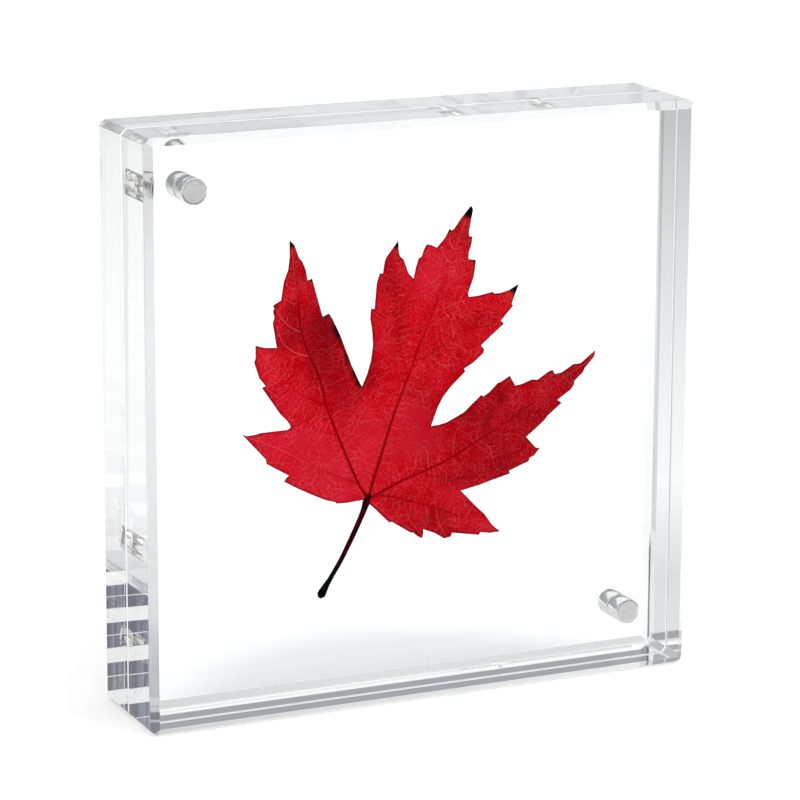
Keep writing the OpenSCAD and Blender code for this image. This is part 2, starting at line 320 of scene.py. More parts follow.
def makeBlock(name, cadNode, body, outward, magnets):
    low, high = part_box(cadNode)
    clearSelection()
    bpy.ops.mesh.primitive_cube_add(size=1, location=(low + high) / 2, scale=high - low)
    block = settle(name)
    startEdit()
    outer, inner = (high.y, low.y) if outward > 0 else (low.y, high.y)
    pick(block, "EDGE", lambda e: all(abs(v.co.y - outer) < near for v in e.verts))
    bpy.ops.mesh.bevel(offset=blockShape["bevelLeg"], offset_type="OFFSET", segments=1, affect="EDGES")
    leg = blockShape["cornerLeg"]
    for sideX, edgeX in ((-1, low.x), (1, high.x)):
        for sideZ, edgeZ in ((-1, low.z), (1, high.z)):
            bpy.ops.mesh.select_all(action="SELECT")
            bpy.ops.mesh.bisect(plane_co=(edgeX - sideX * leg, 0, edgeZ), plane_no=(sideX, 0, sideZ),
                                use_fill=True, clear_outer=True)
    bpy.ops.mesh.select_all(action="SELECT")
    bpy.ops.mesh.normals_make_consistent(inside=False)
    endEdit()
    applyModifier(block, "BEVEL", width=blockShape["edgeRound"], segments=2, limit_method="ANGLE",
                  angle_limit=blockShape["sharpFrom"])
    depth, overrun = blockShape["boreDepth"], blockShape["drillOverrun"]
    for magnet in magnets:
        nearest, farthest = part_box(magnet)
        centre = (nearest + farthest) / 2
        clearSelection()
        bpy.ops.mesh.primitive_cylinder_add(
            vertices=blockShape["drillSides"], radius=blockShape["boreRadius"], depth=depth + overrun,
            location=(centre.x, inner + outward * (depth - overrun) / 2, centre.z),
            rotation=(math.pi / 2, 0, 0))
        drill = settle("drill")
        applyModifier(block, "BOOLEAN", operation="DIFFERENCE", solver="EXACT", object=drill)
        bpy.data.objects.remove(drill)
    choose(block)
    bpy.ops.object.shade_smooth_by_angle(angle=blockShape["sharpFrom"])
    applyModifier(block, "WEIGHTED_NORMAL", keep_sharp=True, weight=100)
    block.data.materials.clear()
    block.data.materials.append(acrylic)
    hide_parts(cadNode)
    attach(block, body)


makeBlock("frontBlock", "front_block", "front", -1, ["front_magnet_upper", "front_magnet_lower"])
makeBlock("rearBlock", "rear_block", "rear", 1, ["rear_magnet_upper", "rear_magnet_lower"])
print("blocks made")


magnetShape = {
    "sides": 64,
    "skin": 0.06 * mm,        # the film of glue round the barrel, so the rod fills its bore
    "rim": 0.3 * mm,
    "rimSteps": 3,
    "faceInset": 0.5 * mm,
    "faceDish": 0.03 * mm,
    "sharpFrom": math.radians(40),
}
magnetJobs = [
    ("frontMagnetUpper", "front_magnet_upper", "front"),
    ("frontMagnetLower", "front_magnet_lower", "front"),
    ("rearMagnetUpper", "rear_magnet_upper", "rear"),
    ("rearMagnetLower", "rear_magnet_lower", "rear"),
]


def turnMagnet(name, low, high):
    centre = (low + high) / 2
    radius = (high.x - low.x) / 2 + magnetShape["skin"]
    clearSelection()
    bpy.ops.mesh.primitive_cylinder_add(vertices=magnetShape["sides"], radius=radius, depth=high.y - low.y,
                                        location=centre, rotation=(math.pi / 2, 0, 0))
    magnet = settle(name)
    startEdit()
    pick(magnet, "EDGE", lambda e: abs(e.verts[0].co.y - e.verts[1].co.y) < near)
    bpy.ops.mesh.bevel(offset=magnetShape["rim"], segments=magnetShape["rimSteps"], affect="EDGES")
    pick(magnet, "FACE", lambda f: abs(f.normal.y) > 0.99)
    bpy.ops.mesh.inset(thickness=magnetShape["faceInset"], depth=-magnetShape["faceDish"], use_individual=True)
    endEdit()
    bpy.ops.object.shade_smooth_by_angle(angle=magnetShape["sharpFrom"])
    return magnet


def makeMagnets():
    first = None
    for name, cadNode, body in magnetJobs:
        low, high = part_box(cadNode)
        if first is None:
            first, firstCentre = turnMagnet(name, low, high), (low + high) / 2
            magnet = first
        else:
            magnet = bpy.data.objects.new(name, first.data.copy())
            magnet.data.name = name
            bpy.context.scene.collection.objects.link(magnet)
            magnet.data.transform(Matrix.Translation((low + high) / 2 - firstCentre))
        magnet.data.materials.clear()
        magnet.data.materials.append(nickel)
        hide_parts(cadNode)
        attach(magnet, body)


makeMagnets()
print("magnets made")


# Places on the leaf are in thousandths of its span from the heart, where stalk and veins meet.
leafShape = {
    "heart": (-9.15 * mm, 39.525 * mm),
    "span": 75 * mm,
    "middle": -0.035 * mm,        # middle of the blade's thickness, front to back
    "halfThickness": 0.125 * mm,
    "rimThickness": 0.5,          # share of the thickness that is left at the edge
    "rimWidth": 0.6 * mm,
    "cell": 0.5 * mm,
    "wave": 0.035 * mm,
    "waves": ((0.5, 9, 4, 0), (0.3, -6, 17, 1.3), (0.2, 31, 23, 0)),      # height, across, up, start
    "sharpFrom": math.radians(50),
    "rimColour": 0.28 * mm,       # how far in from the edge the darker rim reaches
    "blackEdge": (1.05 * mm, 0.25 * mm),      # how far black spots reach in, and over what they fade
    "blackTip": (1.15, 0.3),      # the same for burnt tips, in shares of their reach
    "amberTip": (2.3, 1.3, 0.4),
    "spotFall": 1.3,              # how steeply a spot ends
    "seed": 11,
}
leafOutline = [
    # lower left lobe
    (-12, -1), (-60, -4), (-88, -3), (-91, 1), (-120, 10), (-155, 27), (-195, 48), (-234, 71), (-227, 80),
    (-220, 85), (-281, 122), (-284, 135), (-348, 206), (-336, 201), (-310, 202), (-300, 205), (-225, 206),
    (-213, 211),
    # left lobe
    (-225, 230), (-245, 251), (-293, 322), (-283, 326), (-300, 347), (-314, 390), (-310, 400), (-310, 433),
    (-285, 425), (-252, 422), (-263, 487), (-258, 500), (-262, 517), (-258, 524), (-262, 532), (-240, 543),
    (-232, 590), (-220, 620), (-216, 650), (-216, 695), (-203, 682), (-190, 647), (-182, 639), (-173, 618),
    (-167, 588), (-155, 592), (-137, 528), (-126, 491), (-109, 498), (-100, 485), (-78, 440), (-45, 355),
    (-26, 315), (-17, 298),
    # middle lobe
    (-3, 328), (8, 363), (14, 405), (11, 445), (6, 475), (8, 500), (18, 499), (24, 565), (32, 590), (41, 589),
    (46, 620), (51, 631), (83, 670), (84, 645), (88, 630), (98, 621), (112, 584), (127, 568), (133, 597),
    (141, 620), (149, 624), (156, 643), (164, 655), (176, 652), (192, 644), (215, 668), (227, 690),
    (233, 685), (241, 690), (257, 712), (288, 746), (293, 735), (282, 680), (283, 666), (292, 665),
    (289, 645), (282, 625), (281, 607), (302, 603), (300, 580), (296, 558), (281, 518), (283, 507),
    (310, 508), (352, 515), (356, 510), (375, 510), (400, 516), (426, 529), (406, 478), (411, 474),
    (376, 437), (385, 428), (345, 397), (319, 376), (329, 364), (325, 354), (295, 331), (271, 319),
    (275, 311), (235, 276), (212, 250), (196, 222), (178, 175),
    # right lobe
    (200, 176), (222, 180), (245, 190), (272, 202), (322, 244), (328, 239), (345, 249), (370, 272),
    (378, 273), (403, 287), (420, 259), (440, 262), (468, 271), (485, 269), (515, 287), (528, 291),
    (535, 279), (556, 282), (590, 301), (610, 301), (653, 332), (650, 316), (622, 287), (617, 276),
    (591, 254), (593, 248), (582, 233), (543, 209), (556, 200), (540, 188), (514, 168), (505, 157),
    (453, 118), (482, 86), (493, 84), (477, 66), (463, 60), (462, 52), (404, 32), (407, 24), (350, 11),
    (320, 3), (265, -7),
    # lower right lobe
    (310, -55), (335, -79), (355, -108), (379, -130), (350, -131), (322, -126), (319, -133), (240, -118),
    (236, -128), (217, -131), (190, -113), (157, -99), (158, -109), (154, -123), (142, -117), (128, -104),
    (122, -105), (68, -69), (60, -70), (15, -24), (3, -14),
]

# A vein's tone runs from 0, nearly black, over 0.5, the blade's own red, to 1, pale pink.
# Widths are in mm: at the start, at the end.
mainVeins = [
    {"width": (0.42, 0.18), "tones": (0.3, 0.33, 0.42, 0.56, 0.61, 0.64, 0.66),
     "line": [(-24, 42), (-72, 63), (-124, 89), (-180, 118), (-234, 152), (-290, 178), (-335, 199)]},
    {"width": (0.58, 0.2), "tones": (0.02, 0.04, 0.1, 0.12, 0.1, 0.08, 0.05, 0.05, 0.2, 0.4, 0.5, 0.5),
     "line": [(0, 0), (-30, 50), (-74, 150), (-114, 250), (-128, 305), (-141, 346), (-165, 396), (-184, 452),
              (-193, 521), (-198, 587), (-205, 641), (-210, 678)]},
    {"width": (0.18, 0.22), "tones": (0.5, 0.56, 0.6, 0.62, 0.66),
     "line": [(-194, 500), (-199, 550), (-202, 590), (-207, 641), (-211, 678)]},
    {"width": (0.62, 0.18),
     "tones": (0.02, 0.03, 0.06, 0.1, 0.15, 0.2, 0.27, 0.33, 0.4, 0.5, 0.56, 0.69, 0.72),
     "line": [(0, 0), (17, 56), (33, 102), (61, 187), (87, 254), (115, 321), (138, 382), (164, 438),
              (190, 503), (228, 602), (243, 635), (260, 684), (284, 732)]},
    {"width": (0.54, 0.18),
     "tones": (0.02, 0.06, 0.1, 0.16, 0.2, 0.26, 0.28, 0.33, 0.4, 0.53, 0.62, 0.66, 0.62),
     "line": [(0, 0), (50, 20), (100, 40), (200, 71), (250, 92), (300, 117), (342, 137), (387, 161),
              (450, 196), (510, 235), (555, 265), (620, 298), (645, 322)]},
    {"width": (0.42, 0.18), "tones": (0.1, 0.28, 0.28, 0.28, 0.3, 0.33, 0.4, 0.59, 0.62, 0.62),
     "line": [(0, 0), (34, 5), (71, -3), (108, -15), (160, -33), (205, -51), (257, -74), (300, -95),
              (345, -115), (372, -127)]},
]
# Each side vein: tone at its start, tone at its end, line
sideVeins = [
    (0.45, 0.63, [(-72, 63), (-90, 45), (-110, 28), (-135, 22)]),
    (0.45, 0.63, [(-120, 87), (-160, 85), (-200, 82), (-228, 74)]),
    (0.50, 0.66, [(-180, 118), (-215, 118), (-250, 122), (-277, 127)]),
    (0.50, 0.63, [(-150, 102), (-185, 140), (-210, 170), (-230, 200)]),
    (0.30, 0.68, [(-86, 178), (-135, 196), (-175, 222), (-216, 256), (-257, 299), (-282, 317)]),
    (0.28, 0.70, [(-118, 262), (-170, 284), (-205, 310), (-240, 343), (-271, 379), (-304, 425)]),
    (0.81, 0.79, [(-163, 392), (-200, 404), (-229, 426), (-243, 447), (-254, 482)]),
    (0.81, 0.81, [(-184, 455), (-212, 471), (-229, 485), (-243, 502), (-255, 526)]),
    (0.68, 0.68, [(-194, 530), (-213, 535), (-236, 550)]),
    (0.63, 0.63, [(-198, 570), (-219, 575), (-230, 588)]),
    (0.60, 0.60, [(-197, 575), (-167, 585), (-159, 586)]),
    (0.53, 0.58, [(-133, 320), (-118, 370), (-106, 430), (-106, 472)]),
    (0.32, 0.70, [(58, 182), (43, 208), (28, 232), (6, 273), (-18, 287), (-40, 304), (-57, 328), (-68, 358),
                  (-71, 396)]),
    (0.26, 0.56, [(112, 312), (105, 338), (97, 364), (88, 400), (80, 450), (74, 520), (71, 575), (74, 620),
                  (80, 655)]),
    (0.53, 0.60, [(82, 440), (55, 462), (30, 478), (11, 493)]),
    (0.60, 0.68, [(71, 572), (56, 580), (41, 585)]),
    (0.53, 0.68, [(196, 520), (180, 545), (160, 572), (140, 600)]),
    (0.56, 0.66, [(222, 586), (205, 597), (178, 615), (160, 640)]),
    (0.71, 0.68, [(229, 602), (215, 618), (206, 634), (202, 648)]),
    (0.71, 0.68, [(243, 632), (231, 648), (226, 665), (228, 681)]),
    (0.64, 0.60, [(243, 634), (260, 640), (275, 647), (287, 660)]),
    (0.63, 0.58, [(228, 600), (255, 606), (278, 604), (296, 601)]),
    (0.56, 0.64, [(205, 540), (240, 553), (270, 567), (292, 575)]),
    (0.60, 0.70, [(178, 475), (223, 487), (253, 497), (275, 500)]),
    (0.26, 0.64, [(126, 354), (157, 358), (184, 372), (230, 398), (270, 418), (320, 450), (374, 484),
                  (416, 520)]),
    (0.38, 0.40, [(270, 418), (310, 425), (345, 424), (376, 430)]),
    (0.66, 0.60, [(243, 90), (243, 130), (249, 155), (265, 172), (279, 195)]),
    (0.64, 0.63, [(309, 121), (313, 150), (320, 172), (334, 190), (350, 211), (368, 234), (382, 256),
                  (400, 280)]),
    (0.56, 0.70, [(415, 176), (430, 200), (432, 220), (425, 243), (422, 254)]),
    (0.56, 0.70, [(440, 190), (465, 198), (481, 207), (492, 228), (497, 250), (521, 282)]),
    (0.35, 0.42, [(440, 190), (485, 183), (520, 190), (548, 200)]),
    (0.63, 0.68, [(348, 140), (380, 133), (415, 130), (438, 121), (459, 99), (476, 84)]),
    (0.63, 0.68, [(317, 125), (330, 115), (345, 102), (354, 80), (356, 63), (365, 42), (382, 32), (400, 29)]),
    (0.33, 0.42, [(245, 90), (277, 73), (314, 68), (352, 66), (400, 70), (450, 78), (477, 83)]),
    (0.36, 0.33, [(145, 56), (177, 43), (211, 34), (251, 28), (300, 26), (343, 23)]),
    (0.56, 0.70, [(104, -14), (108, -40), (114, -63), (128, -85), (150, -113)]),
    (0.64, 0.67, [(163, -34), (166, -60), (169, -80), (162, -97)]),
    (0.64, 0.73, [(193, -46), (197, -63), (200, -85), (211, -105), (221, -123)]),
    (0.63, 0.63, [(259, -75), (262, -90), (260, -106), (262, -117)]),
    (0.56, 0.63, [(295, -93), (305, -110), (315, -123)]),
    (0.66, 0.64, [(12, -10), (43, -40), (71, -63), (105, -85), (123, -100)]),
]
sideVeinWidth = (0.34, 0.2)

# Spots on the blade: place, reach across, reach up, strength
darkSpots = [
    (-120, 440, 55, 110, 0.8), (-150, 360, 30, 60, 0.3), (-85, 330, 50, 50, 0.5), (-60, 270, 45, 40, 0.35),
    (-215, 450, 40, 35, 0.5), (-215, 515, 30, 30, 0.4), (-185, 610, 30, 60, 0.35), (60, 565, 30, 45, 0.4),
    (85, 470, 25, 70, 0.22), (335, 168, 16, 28, 0.7), (352, 200, 14, 20, 0.6), (378, 232, 16, 26, 0.8),
    (360, 125, 30, 25, 0.35), (385, 60, 30, 35, 0.5), (430, 100, 50, 40, 0.3), (450, 170, 60, 30, 0.35),
    (290, 190, 30, 20, 0.35), (330, 445, 50, 16, 0.25), (170, 380, 40, 30, 0.2), (182, -70, 12, 30, 0.5),
    (218, -75, 12, 30, 0.3), (245, 680, 18, 25, 0.3), (275, 660, 12, 20, 0.3), (-100, 460, 30, 40, 0.6),
    (90, -20, 60, 35, 0.25), (270, 40, 80, 30, 0.25), (12, 330, 16, 50, 0.4), (380, 170, 270, 150, 0.38),
    (200, -70, 140, 60, 0.15), (-160, 470, 50, 60, 0.4), (140, -85, 50, 25, 0.3), (230, -118, 60, 14, 0.45),
    (380, 35, 100, 30, 0.4), (300, 100, 60, 50, 0.22), (580, 280, 90, 50, 0.4), (370, 260, 50, 30, 0.25),
    (275, 680, 25, 50, 0.2), (70, 630, 30, 40, 0.2), (-10, 305, 20, 20, 0.35), (520, 200, 50, 30, 0.25),
    (250, 20, 50, 20, 0.3),
]
blackSpots = [
    (-86, 447, 17, 34, 1.0), (-60, 380, 12, 40, 0.8), (-38, 335, 11, 20, 0.9), (-26, 312, 12, 16, 1.0),
    (-118, 492, 14, 8, 0.7), (-260, 530, 8, 12, 0.8), (135, -108, 12, 6, 0.5),
]
paleSpots = [
    (-70, 90, 60, 45, 0.75), (-150, 155, 60, 45, 0.6), (-75, 18, 40, 20, 0.6), (-12, 120, 30, 60, 0.8),
    (-25, 210, 30, 50, 0.5), (-275, 370, 30, 60, 0.5), (172, 565, 30, 40, 0.9), (210, 600, 50, 40, 0.3),
    (100, 220, 30, 35, 0.5), (50, 420, 20, 50, 0.35), (345, -110, 40, 15, 0.5), (130, 110, 40, 40, 0.3),
    (-300, 185, 30, 15, 0.4), (465, 105, 12, 12, 0.4), (-130, 60, 160, 80, 0.75), (-240, 170, 130, 50, 0.8),
    (120, 150, 80, 50, 0.7), (140, 220, 40, 40, 0.6), (30, 160, 40, 60, 0.7), (190, 580, 70, 70, 0.5),
    (-290, 400, 30, 40, 0.4), (-220, 280, 60, 30, 0.4), (250, -30, 60, 25, 0.3),
]
# Burnt lobe tips: place and how far the black reaches from it
burntTips = [
    (-216, 699, 24), (83, 672, 23), (290, 750, 38), (428, 530, 30), (655, 334, 12), (-350, 208, 12),
    (381, -131, 14), (-311, 434, 8), (304, 604, 10), (494, 85, 8), (-109, 500, 10), (404, 289, 8),
    (228, 691, 8), (-156, 593, 8),
]
stalkShape = {
    "line": [(3, 12), (0, 4), (-10, -25), (-21, -50), (-46, -100), (-73, -150), (-94, -183), (-107, -203),
             (-120, -222), (-131, -241), (-134.5, -246.5), (-136.5, -249.5)],
    "widths": (1.3, 1.9, 1.34, 1.2, 1.12, 1.04, 0.98, 1.05, 1.42, 1.95, 1.5, 0.7),
    "halfThickness": 0.25 * mm,
    "step": 0.7 * mm,
}
ribShape = {
    "mainRise": (0.12 * mm, 0.05 * mm),     # how far ribs stand out of the back and the front
    "sideRise": (0.09 * mm, 0.035 * mm),
    "fineRise": (0.03 * mm, 0.012 * mm),
    "sideWidth": (0.22, 0.12),
    "shoulder": 0.4,                        # share of the rise at a rib's sides
    "step": 0.5 * mm,
}
# Fine veins, lengths in mm. Each leaves a larger vein nearly square to it, runs in small kinks till it
# meets another, and throws off short branches that close the net.
netPlans = [
    {"spacing": 1.15, "longest": 8.0, "shortest": 0.8, "clearStart": 0.45, "width": (0.11, 0.075),
     "tones": (0.56, 0.92), "branchChance": 0.55},
    {"spacing": 0.0, "longest": 1.9, "shortest": 0.35, "clearStart": 0.36, "width": (0.075, 0.055),
     "tones": (0.55, 0.85), "branchChance": 0.0},
]
netShape = {
    "jitter": 0.4,
    "step": 0.38,
    "joinReach": 0.3,
    "bend": 8,               # degrees, as the next three
    "kink": (20, 42),
    "firstAngle": (62, 92),
    "branchAngle": (60, 95),
    "firstAt": (0.4, 1.2),
    "marks": 4,              # on each piece of a larger vein, for the new ones to find
    "toneTurn": (0.2, 0.8),
    "turnChance": 0.6,
    "clearAhead": 0.6,
}


def leafPlaces(points):
    return np.array(points, float) / 1000 * leafShape["span"] + np.array(leafShape["heart"])


def smoothLine(points, step, between=12):
    # a soft curve through the points, at even steps, with the share of its length at each step and point
    points = np.array(points, float)
    padded = np.vstack([2 * points[0] - points[1], points, 2 * points[-1] - points[-2]])
    t = np.linspace(0, 1, between, endpoint=False)[:, None]
    fine = []
    for a, b, c, d in zip(padded, padded[1:], padded[2:], padded[3:]):
        fine.extend(0.5 * (2 * b + (c - a) * t + (2 * a - 5 * b + 4 * c - d) * t ** 2
                           + (3 * b - a - 3 * c + d) * t ** 3))
    fine = np.array(fine + [points[-1]])
    run = np.concatenate([[0], np.cumsum(np.linalg.norm(np.diff(fine, axis=0), axis=1))])
    at = np.linspace(0, run[-1], max(3, int(round(run[-1] / step)) + 1))
    line = np.stack([np.interp(at, run, fine[:, 0]), np.interp(at, run, fine[:, 1])], 1)
    return line, at / run[-1], run[::between] / run[-1]


def distanceToEdge(points, outline):
    best = np.full(len(points), 1e9)
    for a, b in zip(outline, np.roll(outline, -1, axis=0)):
        along = b - a
        t = np.clip(((points - a) @ along) / (along @ along), 0, 1)
        best = np.minimum(best, np.linalg.norm(points - a - t[:, None] * along, axis=1))
    return best


def isInside(point, outline):
    x, z = point
    nextPoints = np.roll(outline, -1, axis=0)
    crossing = (outline[:, 1] > z) != (nextPoints[:, 1] > z)
    a, b = outline[crossing], nextPoints[crossing]
    at = (b[:, 0] - a[:, 0]) * (z - a[:, 1]) / (b[:, 1] - a[:, 1]) + a[:, 0]
    return np.count_nonzero(x < at) % 2 == 1


class VeinMap:
    # remembers where veins run, so that a new one can find them
    def __init__(self, cell):
        self.cell = cell
        self.cells = {}

    def put(self, point, owner):
        key = (int(point[0] // self.cell), int(point[1] // self.cell))
        self.cells.setdefault(key, []).append((point, owner))

    def nearest(self, point, reach, skip):
        i, j = int(point[0] // self.cell), int(point[1] // self.cell)
        around = int(math.ceil(reach / self.cell))
        found = None
        for u in range(i - around, i + around + 1):
            for v in range(j - around, j + around + 1):
                for other, owner in self.cells.get((u, v), ()):
                    away = math.dist(point, other)
                    if owner not in skip and away < reach:
                        found, reach = other, away
        return found


def pointAhead(point, heading, distance):
    return point[0] + math.cos(heading) * distance, point[1] + math.sin(heading) * distance


def growVein(veins, outline, rand, plan, start, heading, owner, own):
    # one fine vein, or nothing where there is no room for it, and the branches that it wants to throw off
    ahead = pointAhead(start, heading, netShape["clearAhead"])
    if not isInside(ahead, outline) or veins.nearest(ahead, plan["clearStart"], {owner}):
        return None, []
    step = netShape["step"]
    line, branches = [start], []
    bend = math.radians(rand.uniform(-netShape["bend"], netShape["bend"]))
    kinkSide = rand.choice((-1, 1))
    while (len(line) - 1) * step < plan["longest"]:
        heading += bend * step
        if rand.random() < netShape["turnChance"]:
            kinkSide = -kinkSide
        turned = heading + kinkSide * math.radians(rand.uniform(*netShape["kink"]))
        point = pointAhead(line[-1], turned, step)
        if not isInside(point, outline):
            break
        join = veins.nearest(point, netShape["joinReach"], {owner, own} if len(line) < 4 else {own})
        line.append(join or point)
        if join:
            break
        if rand.random() < plan["branchChance"]:
            away = math.radians(rand.uniform(*netShape["branchAngle"]))
            branches.append((point, heading - kinkSide * away, own))
    if (len(line) - 1) * step < plan["shortest"]:
        return None, []
    for point in line:
        veins.put(point, own)
    return np.array(line), branches


def growNet(bigLines, outline):
    rand = random.Random(leafShape["seed"])
    veins = VeinMap(netShape["joinReach"])
    plan = netPlans[0]
    seeds = []
    for owner, line in enumerate(bigLines):
        for a, b in zip(line[:-1], line[1:]):
            for t in np.linspace(0, 1, netShape["marks"], endpoint=False):
                veins.put(tuple(a + (b - a) * t), owner)
        run = np.concatenate([[0], np.cumsum(np.linalg.norm(np.diff(line, axis=0), axis=1))])
        for side in (-1, 1):
            at = rand.uniform(*netShape["firstAt"])
            while at < run[-1]:
                k = min(int(np.searchsorted(run, at)), len(line) - 1)
                along = line[k] - line[k - 1]
                turn = side * math.radians(rand.uniform(*netShape["firstAngle"]))
                seeds.append((tuple(line[k]), math.atan2(along[1], along[0]) + turn, owner))
                at += plan["spacing"] * (1 + rand.uniform(-netShape["jitter"], netShape["jitter"]))
    grown = []
    for plan in netPlans:
        rand.shuffle(seeds)
        branches = []
        for start, heading, owner in seeds:
            line, more = growVein(veins, outline, rand, plan, start, heading, owner, len(bigLines) + len(grown))
            if line is not None:
                grown.append((line, plan))
                branches.extend(more)
        seeds = branches
    return grown


def setValues(piece, name, values):
    attribute = piece.data.attributes.new(name, "FLOAT", "POINT")
    attribute.data.foreach_set("value", np.asarray(values, np.float32))


def readPlaces(piece):
    places = np.zeros(len(piece.data.vertices) * 3)
    piece.data.vertices.foreach_get("co", places)
    return places.reshape(-1, 3)


def writePlaces(piece, places):
    piece.data.vertices.foreach_set("co", places.ravel())
    piece.data.update()


def tubeAlong(name, jobs, steps, flatSide):
    # bevelled curves drawn on the ground, made a mesh and stood up. A job is line, half widths, tones.
    curve = bpy.data.curves.new(name, "CURVE")
    curve.dimensions = "3D"
    curve.twist_mode = "Z_UP"
    curve.fill_mode = "FULL"
    curve.use_fill_caps = True
    curve.bevel_depth = 1
    curve.extrude = flatSide
    curve.bevel_resolution = steps
    for line, halfWidths, tones in jobs:
        spline = curve.splines.new("POLY")
        spline.points.add(len(line) - 1)
        for point, (x, z), halfWidth in zip(spline.points, line, halfWidths):
            point.co = (x, z, 0, 1)
            point.radius = halfWidth
    tube = bpy.data.objects.new(name, curve)
    bpy.context.scene.collection.objects.link(tube)
    choose(tube)
    bpy.ops.object.convert(target="MESH")
    bpy.context.object.rotation_euler = (math.pi / 2, 0, 0)
    tube = settle(name)
    # each vertex takes its half width and tone from the nearest point of the lines
    rows = [(x, z, w, tone) for job in jobs for (x, z), w, tone in zip(*job)]
    tree = KDTree(len(rows))
    for i, (x, z, w, tone) in enumerate(rows):
        tree.insert((x, 0, z), i)
    tree.balance()
    nearest = [tree.find((x, 0, z))[1] for x, y, z in readPlaces(tube)]
    halfWidths, tones = np.array(rows)[nearest, 2:].T
    return tube, halfWidths, tones


def makeRibs(name, jobs, steps, rise):
    ribs, halfWidths, tones = tubeAlong(name, jobs, steps, 1)
    places = readPlaces(ribs)
    depth = places[:, 1] / halfWidths               # 1 at the shoulders, 2 at the crest
    shoulder = ribShape["shoulder"]
    lift = shoulder + (1 - shoulder) * np.clip(np.abs(depth) - 1, 0, 1)
    out = leafShape["halfThickness"] + lift * np.where(depth > 0, rise[0], rise[1])
    places[:, 1] = leafShape["middle"] + np.sign(depth) * out
    writePlaces(ribs, places)
    setValues(ribs, "tone", tones)
    mergeAndTurnOut(ribs)
    return ribs


def makeStalk():
    line, at, marks = smoothLine(leafPlaces(stalkShape["line"]), stalkShape["step"])
    halfWidths = np.interp(at, marks, stalkShape["widths"]) * mm / 2
    stalk, halfWidths, along = tubeAlong("stalk", [(line, halfWidths, at)], 5, 0)
    places = readPlaces(stalk)
    places[:, 1] *= stalkShape["halfThickness"] / halfWidths * np.clip(halfWidths / (0.5 * mm), 0.5, 1)
    writePlaces(stalk, places)
    setValues(stalk, "tone", np.full(len(places), 0.5))
    setValues(stalk, "stalk", 0.5 + 0.5 * along)
    mergeAndTurnOut(stalk)
    return stalk


def makeBlade(outline):
    # a thin plate of small cells, cut to the outline
    low, high = outline.min(axis=0), outline.max(axis=0)
    cell, half = leafShape["cell"], leafShape["halfThickness"]
    width, height = high - low + 1.5 * cell
    centre = (low + high) / 2
    clearSelection()
    bpy.ops.mesh.primitive_grid_add(x_subdivisions=round(width / cell), y_subdivisions=round(height / cell),
                                    size=1, location=(centre[0], leafShape["middle"] - half, centre[1]),
                                    rotation=(math.pi / 2, 0, 0))
    bpy.context.object.scale = (width, height, 1)
    blade = settle("pressedLeaf")
    thicken(blade, 2 * half)
    clearSelection()
    bpy.ops.mesh.primitive_circle_add(vertices=len(outline), radius=1, fill_type="NGON",
                                      rotation=(math.pi / 2, 0, 0))
    cutter = settle("leafCutter")
    for vertex, (x, z) in zip(cutter.data.vertices, outline):
        vertex.co = (x, -1 * mm, z)
    thicken(cutter, 2 * mm)
    applyModifier(blade, "BOOLEAN", operation="INTERSECT", solver="MANIFOLD", object=cutter)
    bpy.data.objects.remove(cutter)
    # the edge gets thinner
    places = readPlaces(blade)
    rim = np.clip(distanceToEdge(places[:, [0, 2]], outline) / leafShape["rimWidth"], 0, 1)
    thin = leafShape["rimThickness"] + (1 - leafShape["rimThickness"]) * rim
    places[:, 1] = leafShape["middle"] + (places[:, 1] - leafShape["middle"]) * thin
    writePlaces(blade, places)
    setValues(blade, "tone", np.full(len(places), 0.5))
    return blade


leafFinish = {
    "red": ((0.78, 0.0004, 0.007, 1), (0.93, 0.002, 0.014, 1)),
    "pinker": (1.0, 0.02, 0.055, 1),
    "speck": (0.48, 0.0004, 0.006, 1),
    "net": (1.0, 0.08, 0.11, 1),
    "shade": (0.22, 0.0003, 0.003, 1),
    "paleVein": (1.0, 0.18, 0.2, 1),
    "darkVein": (0.30, 0.0, 0.002, 1),
    "veinPatches": (190, 0.25, 1.1),   # where the fine veins show less and more
    "rim": (0.12, 0.0005, 0.006, 1),
    "amber": (0.72, 0.045, 0.02, 1),
    "burnt": (0.004, 0.003, 0.004, 1),
    "stalk": (0.055, 0.0006, 0.004, 1),
    "stalkFrom": (0.2, 0.5),
    "stalkEnd": (0.006, 0.0065, 0.0065, 1),
    "stalkEndFrom": (0.78, 0.86),
    "blotchScale": 130,
    "grainScale": 1500,
    "speckFrom": (0.48, 0.68, 0, 0.45),
    "shares": {"pale": 0.7, "shade": 0.85, "rim": 0.75},      # how much of each colour comes through
    "warpScale": 900,
    "warp": (0.0004, 0, 0.0004),
    "netScale": 1250,                  # the net of the finest veins
    "netWidth": (0.015, 0.09, 1, 0),
    "netPatches": (260, 0.03, 0.42),
    "roughness": (0.55, 0.8),
    "shine": 0.02,
    "bumpDepth": 0.03 * mm,
    "bumpStrength": 0.5,
}


